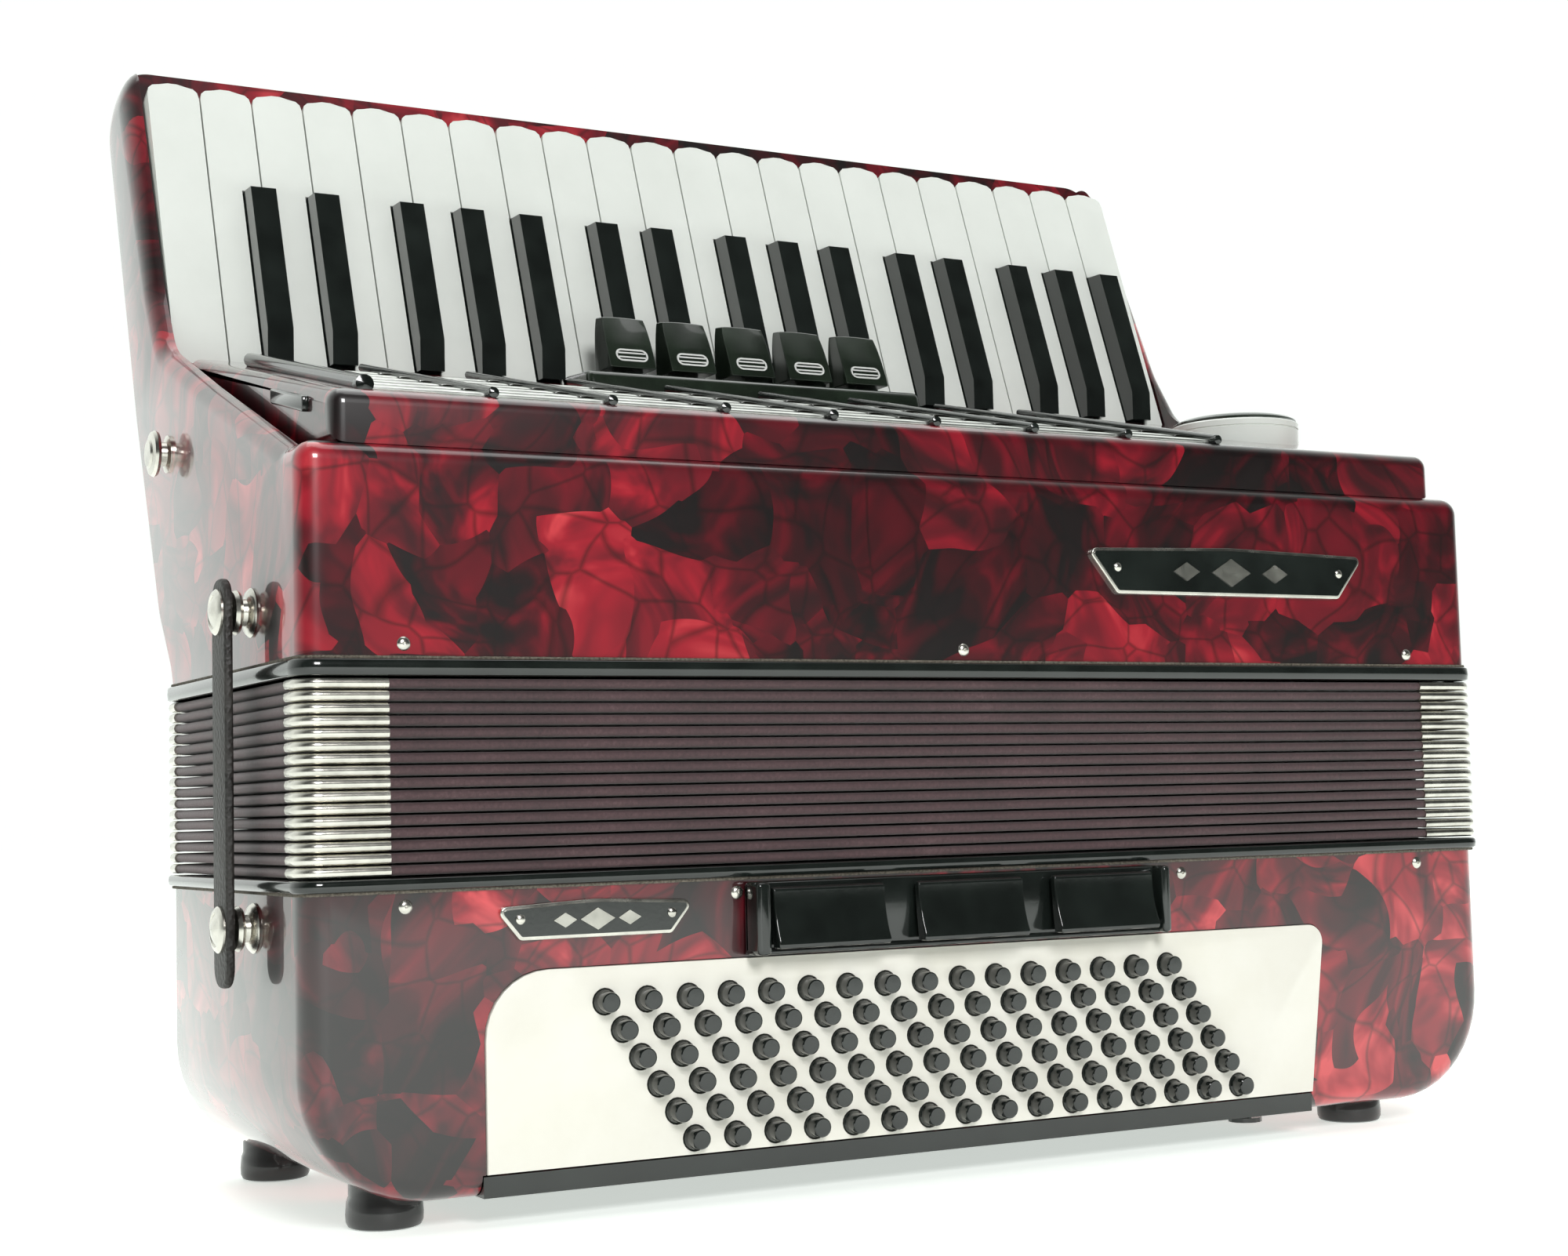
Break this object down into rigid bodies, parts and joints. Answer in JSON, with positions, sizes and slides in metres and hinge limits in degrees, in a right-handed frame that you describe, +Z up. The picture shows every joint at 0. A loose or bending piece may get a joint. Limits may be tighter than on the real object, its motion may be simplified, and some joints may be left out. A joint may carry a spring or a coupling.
{
  "type": "piano accordion",
  "caption": "Piano accordion with red pearloid casings, folded bellows, sloping keyboard, bass button field, register tabs, bellows straps and feet.",
  "frame": {"origin": "centre of the bounding box's bottom, on the floor under the feet of the bass end", "axes": "+X along the keyboard, +Y from the grille front to the keyboard back, +Z up, along the bellows' travel"},
  "size_m": [0.475, 0.259, 0.4045],
  "materials": {
    "red_pearloid": "red pearl celluloid, polished",
    "black_gloss": "gloss black moulded plastic",
    "ivory_plate": "ivory plastic sheet, satin",
    "white_keys": "white polished key plastic",
    "bellows_cloth": "bellows cloth over card folds",
    "black_leather": "grained black leather, stitched",
    "nickel": "nickel plated, slightly worn",
    "reed_wood": "bare pine and maple"
  },
  "bodies": {
    "bass_section": {"bass_casing": "red_pearloid", "bass_end_cover": "black_gloss", "bass_button_plate": "ivory_plate", "bass_register_bridge": "black_gloss", "hand_strap": "black_leather", "bellows": "bellows_cloth"},
    "treble_section": {"treble_casing": "red_pearloid", "treble_reed_block": "reed_wood", "grille_cover": "red_pearloid", "treble_register_bridge": "black_gloss", "key_axle": "nickel"},
    "left_strap": {"bellows_strap_left": "black_leather"},
    "right_strap": {"bellows_strap_right": "black_leather"},
    "button_set": {"bass_buttons": "black_gloss"},
    "air_valve": {"air_button": "black_gloss"},
    "treble_register_1": {"treble_register_1": "black_gloss"},
    "treble_register_2": {"treble_register_2": "black_gloss"},
    "treble_register_3": {"treble_register_3": "black_gloss"},
    "treble_register_4": {"treble_register_4": "black_gloss"},
    "treble_register_5": {"treble_register_5": "black_gloss"},
    "bass_register_1": {"bass_register_1": "black_gloss"},
    "bass_register_2": {"bass_register_2": "black_gloss"},
    "bass_register_3": {"bass_register_3": "black_gloss"},
    "key_white_01": {"key_white_01": "white_keys"},
    "key_white_02": {"key_white_02": "white_keys"},
    "key_white_03": {"key_white_03": "white_keys"},
    "key_white_04": {"key_white_04": "white_keys"},
    "key_white_05": {"key_white_05": "white_keys"},
    "key_white_06": {"key_white_06": "white_keys"},
    "key_white_07": {"key_white_07": "white_keys"},
    "key_white_08": {"key_white_08": "white_keys"},
    "key_white_09": {"key_white_09": "white_keys"},
    "key_white_10": {"key_white_10": "white_keys"},
    "key_white_11": {"key_white_11": "white_keys"},
    "key_white_12": {"key_white_12": "white_keys"},
    "key_white_13": {"key_white_13": "white_keys"},
    "key_white_14": {"key_white_14": "white_keys"},
    "key_white_15": {"key_white_15": "white_keys"},
    "key_white_16": {"key_white_16": "white_keys"},
    "key_white_17": {"key_white_17": "white_keys"},
    "key_white_18": {"key_white_18": "white_keys"},
    "key_white_19": {"key_white_19": "white_keys"},
    "key_white_20": {"key_white_20": "white_keys"},
    "key_white_21": {"key_white_21": "white_keys"},
    "key_white_22": {"key_white_22": "white_keys"},
    "key_black_01": {"key_black_01": "black_gloss"},
    "key_black_02": {"key_black_02": "black_gloss"},
    "key_black_03": {"key_black_03": "black_gloss"},
    "key_black_04": {"key_black_04": "black_gloss"},
    "key_black_05": {"key_black_05": "black_gloss"},
    "key_black_06": {"key_black_06": "black_gloss"},
    "key_black_07": {"key_black_07": "black_gloss"},
    "key_black_08": {"key_black_08": "black_gloss"},
    "key_black_09": {"key_black_09": "black_gloss"},
    "key_black_10": {"key_black_10": "black_gloss"},
    "key_black_11": {"key_black_11": "black_gloss"},
    "key_black_12": {"key_black_12": "black_gloss"},
    "key_black_13": {"key_black_13": "black_gloss"},
    "key_black_14": {"key_black_14": "black_gloss"},
    "key_black_15": {"key_black_15": "black_gloss"}
  },
  "joints": [
    {"name": "bellows_open", "type": "slide", "parent": "bass_section", "child": "treble_section", "axis": [0, 0, 1], "range_m": [0, 0.28], "deforming": ["bellows"]},
    {"name": "left_strap_swing", "type": "hinge", "parent": "treble_section", "child": "left_strap", "pos_m": [-0.2335, -0.0685, 0.1827], "axis": [1, 0, 0], "range_deg": [0, 90]},
    {"name": "right_strap_swing", "type": "hinge", "parent": "treble_section", "child": "right_strap", "pos_m": [0.2335, -0.0685, 0.1827], "axis": [1, 0, 0], "range_deg": [0, 90]},
    {"name": "bass_buttons_press", "type": "slide", "parent": "bass_section", "child": "button_set", "axis": [0, 1, 0], "range_m": [0, 0.0035], "stiffness_N_per_m": 900, "springref_m": -0.002},
    {"name": "air_button_press", "type": "slide", "parent": "bass_section", "child": "air_valve", "axis": [0, 0, 1], "range_m": [0, 0.003], "stiffness_N_per_m": 300},
    {"name": "bass_register_1_press", "type": "hinge", "parent": "bass_section", "child": "bass_register_1", "pos_m": [-0.0575, -0.1227, 0.0945], "axis": [1, 0, 0], "range_deg": [0, 4], "stiffness_Nm_per_rad": 1.5, "springref_deg": -2.86},
    {"name": "bass_register_2_press", "type": "hinge", "parent": "bass_section", "child": "bass_register_2", "pos_m": [-0.005, -0.1227, 0.0945], "axis": [1, 0, 0], "range_deg": [0, 4], "stiffness_Nm_per_rad": 1.5, "springref_deg": -2.86},
    {"name": "bass_register_3_press", "type": "hinge", "parent": "bass_section", "child": "bass_register_3", "pos_m": [0.0475, -0.1227, 0.0945], "axis": [1, 0, 0], "range_deg": [0, 4], "stiffness_Nm_per_rad": 1.5, "springref_deg": -2.86},
    {"name": "treble_register_1_rock", "type": "hinge", "parent": "treble_section", "child": "treble_register_1", "pos_m": [-0.051, 0.0335, 0.286], "axis": [1, 0, 0], "range_deg": [0, 8]},
    {"name": "treble_register_2_rock", "type": "hinge", "parent": "treble_section", "child": "treble_register_2", "pos_m": [-0.0255, 0.0335, 0.286], "axis": [1, 0, 0], "range_deg": [0, 8]},
    {"name": "treble_register_3_rock", "type": "hinge", "parent": "treble_section", "child": "treble_register_3", "pos_m": [0, 0.0335, 0.286], "axis": [1, 0, 0], "range_deg": [0, 8]},
    {"name": "treble_register_4_rock", "type": "hinge", "parent": "treble_section", "child": "treble_register_4", "pos_m": [0.0255, 0.0335, 0.286], "axis": [1, 0, 0], "range_deg": [0, 8]},
    {"name": "treble_register_5_rock", "type": "hinge", "parent": "treble_section", "child": "treble_register_5", "pos_m": [0.051, 0.0335, 0.286], "axis": [1, 0, 0], "range_deg": [0, 8]},
    {"name": "key_white_01_press", "type": "hinge", "parent": "treble_section", "child": "key_white_01", "pos_m": [0, 0.04913, 0.25898], "axis": [-1, 0, 0], "range_deg": [0, 2], "stiffness_Nm_per_rad": 0.6, "springref_deg": -20.05},
    {"name": "key_white_02_press", "type": "hinge", "parent": "treble_section", "child": "key_white_02", "pos_m": [0, 0.04913, 0.25898], "axis": [-1, 0, 0], "range_deg": [0, 2], "stiffness_Nm_per_rad": 0.6, "springref_deg": -20.05},
    {"name": "key_white_03_press", "type": "hinge", "parent": "treble_section", "child": "key_white_03", "pos_m": [0, 0.04913, 0.25898], "axis": [-1, 0, 0], "range_deg": [0, 2], "stiffness_Nm_per_rad": 0.6, "springref_deg": -20.05},
    {"name": "key_white_04_press", "type": "hinge", "parent": "treble_section", "child": "key_white_04", "pos_m": [0, 0.04913, 0.25898], "axis": [-1, 0, 0], "range_deg": [0, 2], "stiffness_Nm_per_rad": 0.6, "springref_deg": -20.05},
    {"name": "key_white_05_press", "type": "hinge", "parent": "treble_section", "child": "key_white_05", "pos_m": [0, 0.04913, 0.25898], "axis": [-1, 0, 0], "range_deg": [0, 2], "stiffness_Nm_per_rad": 0.6, "springref_deg": -20.05},
    {"name": "key_white_06_press", "type": "hinge", "parent": "treble_section", "child": "key_white_06", "pos_m": [0, 0.04913, 0.25898], "axis": [-1, 0, 0], "range_deg": [0, 2], "stiffness_Nm_per_rad": 0.6, "springref_deg": -20.05},
    {"name": "key_white_07_press", "type": "hinge", "parent": "treble_section", "child": "key_white_07", "pos_m": [0, 0.04913, 0.25898], "axis": [-1, 0, 0], "range_deg": [0, 2], "stiffness_Nm_per_rad": 0.6, "springref_deg": -20.05},
    {"name": "key_white_08_press", "type": "hinge", "parent": "treble_section", "child": "key_white_08", "pos_m": [0, 0.04913, 0.25898], "axis": [-1, 0, 0], "range_deg": [0, 2], "stiffness_Nm_per_rad": 0.6, "springref_deg": -20.05},
    {"name": "key_white_09_press", "type": "hinge", "parent": "treble_section", "child": "key_white_09", "pos_m": [0, 0.04913, 0.25898], "axis": [-1, 0, 0], "range_deg": [0, 2], "stiffness_Nm_per_rad": 0.6, "springref_deg": -20.05},
    {"name": "key_white_10_press", "type": "hinge", "parent": "treble_section", "child": "key_white_10", "pos_m": [0, 0.04913, 0.25898], "axis": [-1, 0, 0], "range_deg": [0, 2], "stiffness_Nm_per_rad": 0.6, "springref_deg": -20.05},
    {"name": "key_white_11_press", "type": "hinge", "parent": "treble_section", "child": "key_white_11", "pos_m": [0, 0.04913, 0.25898], "axis": [-1, 0, 0], "range_deg": [0, 2], "stiffness_Nm_per_rad": 0.6, "springref_deg": -20.05},
    {"name": "key_white_12_press", "type": "hinge", "parent": "treble_section", "child": "key_white_12", "pos_m": [0, 0.04913, 0.25898], "axis": [-1, 0, 0], "range_deg": [0, 2], "stiffness_Nm_per_rad": 0.6, "springref_deg": -20.05},
    {"name": "key_white_13_press", "type": "hinge", "parent": "treble_section", "child": "key_white_13", "pos_m": [0, 0.04913, 0.25898], "axis": [-1, 0, 0], "range_deg": [0, 2], "stiffness_Nm_per_rad": 0.6, "springref_deg": -20.05},
    {"name": "key_white_14_press", "type": "hinge", "parent": "treble_section", "child": "key_white_14", "pos_m": [0, 0.04913, 0.25898], "axis": [-1, 0, 0], "range_deg": [0, 2], "stiffness_Nm_per_rad": 0.6, "springref_deg": -20.05},
    {"name": "key_white_15_press", "type": "hinge", "parent": "treble_section", "child": "key_white_15", "pos_m": [0, 0.04913, 0.25898], "axis": [-1, 0, 0], "range_deg": [0, 2], "stiffness_Nm_per_rad": 0.6, "springref_deg": -20.05},
    {"name": "key_white_16_press", "type": "hinge", "parent": "treble_section", "child": "key_white_16", "pos_m": [0, 0.04913, 0.25898], "axis": [-1, 0, 0], "range_deg": [0, 2], "stiffness_Nm_per_rad": 0.6, "springref_deg": -20.05},
    {"name": "key_white_17_press", "type": "hinge", "parent": "treble_section", "child": "key_white_17", "pos_m": [0, 0.04913, 0.25898], "axis": [-1, 0, 0], "range_deg": [0, 2], "stiffness_Nm_per_rad": 0.6, "springref_deg": -20.05},
    {"name": "key_white_18_press", "type": "hinge", "parent": "treble_section", "child": "key_white_18", "pos_m": [0, 0.04913, 0.25898], "axis": [-1, 0, 0], "range_deg": [0, 2], "stiffness_Nm_per_rad": 0.6, "springref_deg": -20.05},
    {"name": "key_white_19_press", "type": "hinge", "parent": "treble_section", "child": "key_white_19", "pos_m": [0, 0.04913, 0.25898], "axis": [-1, 0, 0], "range_deg": [0, 2], "stiffness_Nm_per_rad": 0.6, "springref_deg": -20.05},
    {"name": "key_white_20_press", "type": "hinge", "parent": "treble_section", "child": "key_white_20", "pos_m": [0, 0.04913, 0.25898], "axis": [-1, 0, 0], "range_deg": [0, 2], "stiffness_Nm_per_rad": 0.6, "springref_deg": -20.05},
    {"name": "key_white_21_press", "type": "hinge", "parent": "treble_section", "child": "key_white_21", "pos_m": [0, 0.04913, 0.25898], "axis": [-1, 0, 0], "range_deg": [0, 2], "stiffness_Nm_per_rad": 0.6, "springref_deg": -20.05},
    {"name": "key_white_22_press", "type": "hinge", "parent": "treble_section", "child": "key_white_22", "pos_m": [0, 0.04913, 0.25898], "axis": [-1, 0, 0], "range_deg": [0, 2], "stiffness_Nm_per_rad": 0.6, "springref_deg": -20.05},
    {"name": "key_black_01_press", "type": "hinge", "parent": "treble_section", "child": "key_black_01", "pos_m": [0, 0.04913, 0.25898], "axis": [-1, 0, 0], "range_deg": [0, 2], "stiffness_Nm_per_rad": 0.6, "springref_deg": -20.05},
    {"name": "key_black_02_press", "type": "hinge", "parent": "treble_section", "child": "key_black_02", "pos_m": [0, 0.04913, 0.25898], "axis": [-1, 0, 0], "range_deg": [0, 2], "stiffness_Nm_per_rad": 0.6, "springref_deg": -20.05},
    {"name": "key_black_03_press", "type": "hinge", "parent": "treble_section", "child": "key_black_03", "pos_m": [0, 0.04913, 0.25898], "axis": [-1, 0, 0], "range_deg": [0, 2], "stiffness_Nm_per_rad": 0.6, "springref_deg": -20.05},
    {"name": "key_black_04_press", "type": "hinge", "parent": "treble_section", "child": "key_black_04", "pos_m": [0, 0.04913, 0.25898], "axis": [-1, 0, 0], "range_deg": [0, 2], "stiffness_Nm_per_rad": 0.6, "springref_deg": -20.05},
    {"name": "key_black_05_press", "type": "hinge", "parent": "treble_section", "child": "key_black_05", "pos_m": [0, 0.04913, 0.25898], "axis": [-1, 0, 0], "range_deg": [0, 2], "stiffness_Nm_per_rad": 0.6, "springref_deg": -20.05},
    {"name": "key_black_06_press", "type": "hinge", "parent": "treble_section", "child": "key_black_06", "pos_m": [0, 0.04913, 0.25898], "axis": [-1, 0, 0], "range_deg": [0, 2], "stiffness_Nm_per_rad": 0.6, "springref_deg": -20.05},
    {"name": "key_black_07_press", "type": "hinge", "parent": "treble_section", "child": "key_black_07", "pos_m": [0, 0.04913, 0.25898], "axis": [-1, 0, 0], "range_deg": [0, 2], "stiffness_Nm_per_rad": 0.6, "springref_deg": -20.05},
    {"name": "key_black_08_press", "type": "hinge", "parent": "treble_section", "child": "key_black_08", "pos_m": [0, 0.04913, 0.25898], "axis": [-1, 0, 0], "range_deg": [0, 2], "stiffness_Nm_per_rad": 0.6, "springref_deg": -20.05},
    {"name": "key_black_09_press", "type": "hinge", "parent": "treble_section", "child": "key_black_09", "pos_m": [0, 0.04913, 0.25898], "axis": [-1, 0, 0], "range_deg": [0, 2], "stiffness_Nm_per_rad": 0.6, "springref_deg": -20.05},
    {"name": "key_black_10_press", "type": "hinge", "parent": "treble_section", "child": "key_black_10", "pos_m": [0, 0.04913, 0.25898], "axis": [-1, 0, 0], "range_deg": [0, 2], "stiffness_Nm_per_rad": 0.6, "springref_deg": -20.05},
    {"name": "key_black_11_press", "type": "hinge", "parent": "treble_section", "child": "key_black_11", "pos_m": [0, 0.04913, 0.25898], "axis": [-1, 0, 0], "range_deg": [0, 2], "stiffness_Nm_per_rad": 0.6, "springref_deg": -20.05},
    {"name": "key_black_12_press", "type": "hinge", "parent": "treble_section", "child": "key_black_12", "pos_m": [0, 0.04913, 0.25898], "axis": [-1, 0, 0], "range_deg": [0, 2], "stiffness_Nm_per_rad": 0.6, "springref_deg": -20.05},
    {"name": "key_black_13_press", "type": "hinge", "parent": "treble_section", "child": "key_black_13", "pos_m": [0, 0.04913, 0.25898], "axis": [-1, 0, 0], "range_deg": [0, 2], "stiffness_Nm_per_rad": 0.6, "springref_deg": -20.05},
    {"name": "key_black_14_press", "type": "hinge", "parent": "treble_section", "child": "key_black_14", "pos_m": [0, 0.04913, 0.25898], "axis": [-1, 0, 0], "range_deg": [0, 2], "stiffness_Nm_per_rad": 0.6, "springref_deg": -20.05},
    {"name": "key_black_15_press", "type": "hinge", "parent": "treble_section", "child": "key_black_15", "pos_m": [0, 0.04913, 0.25898], "axis": [-1, 0, 0], "range_deg": [0, 2], "stiffness_Nm_per_rad": 0.6, "springref_deg": -20.05}
  ]
}
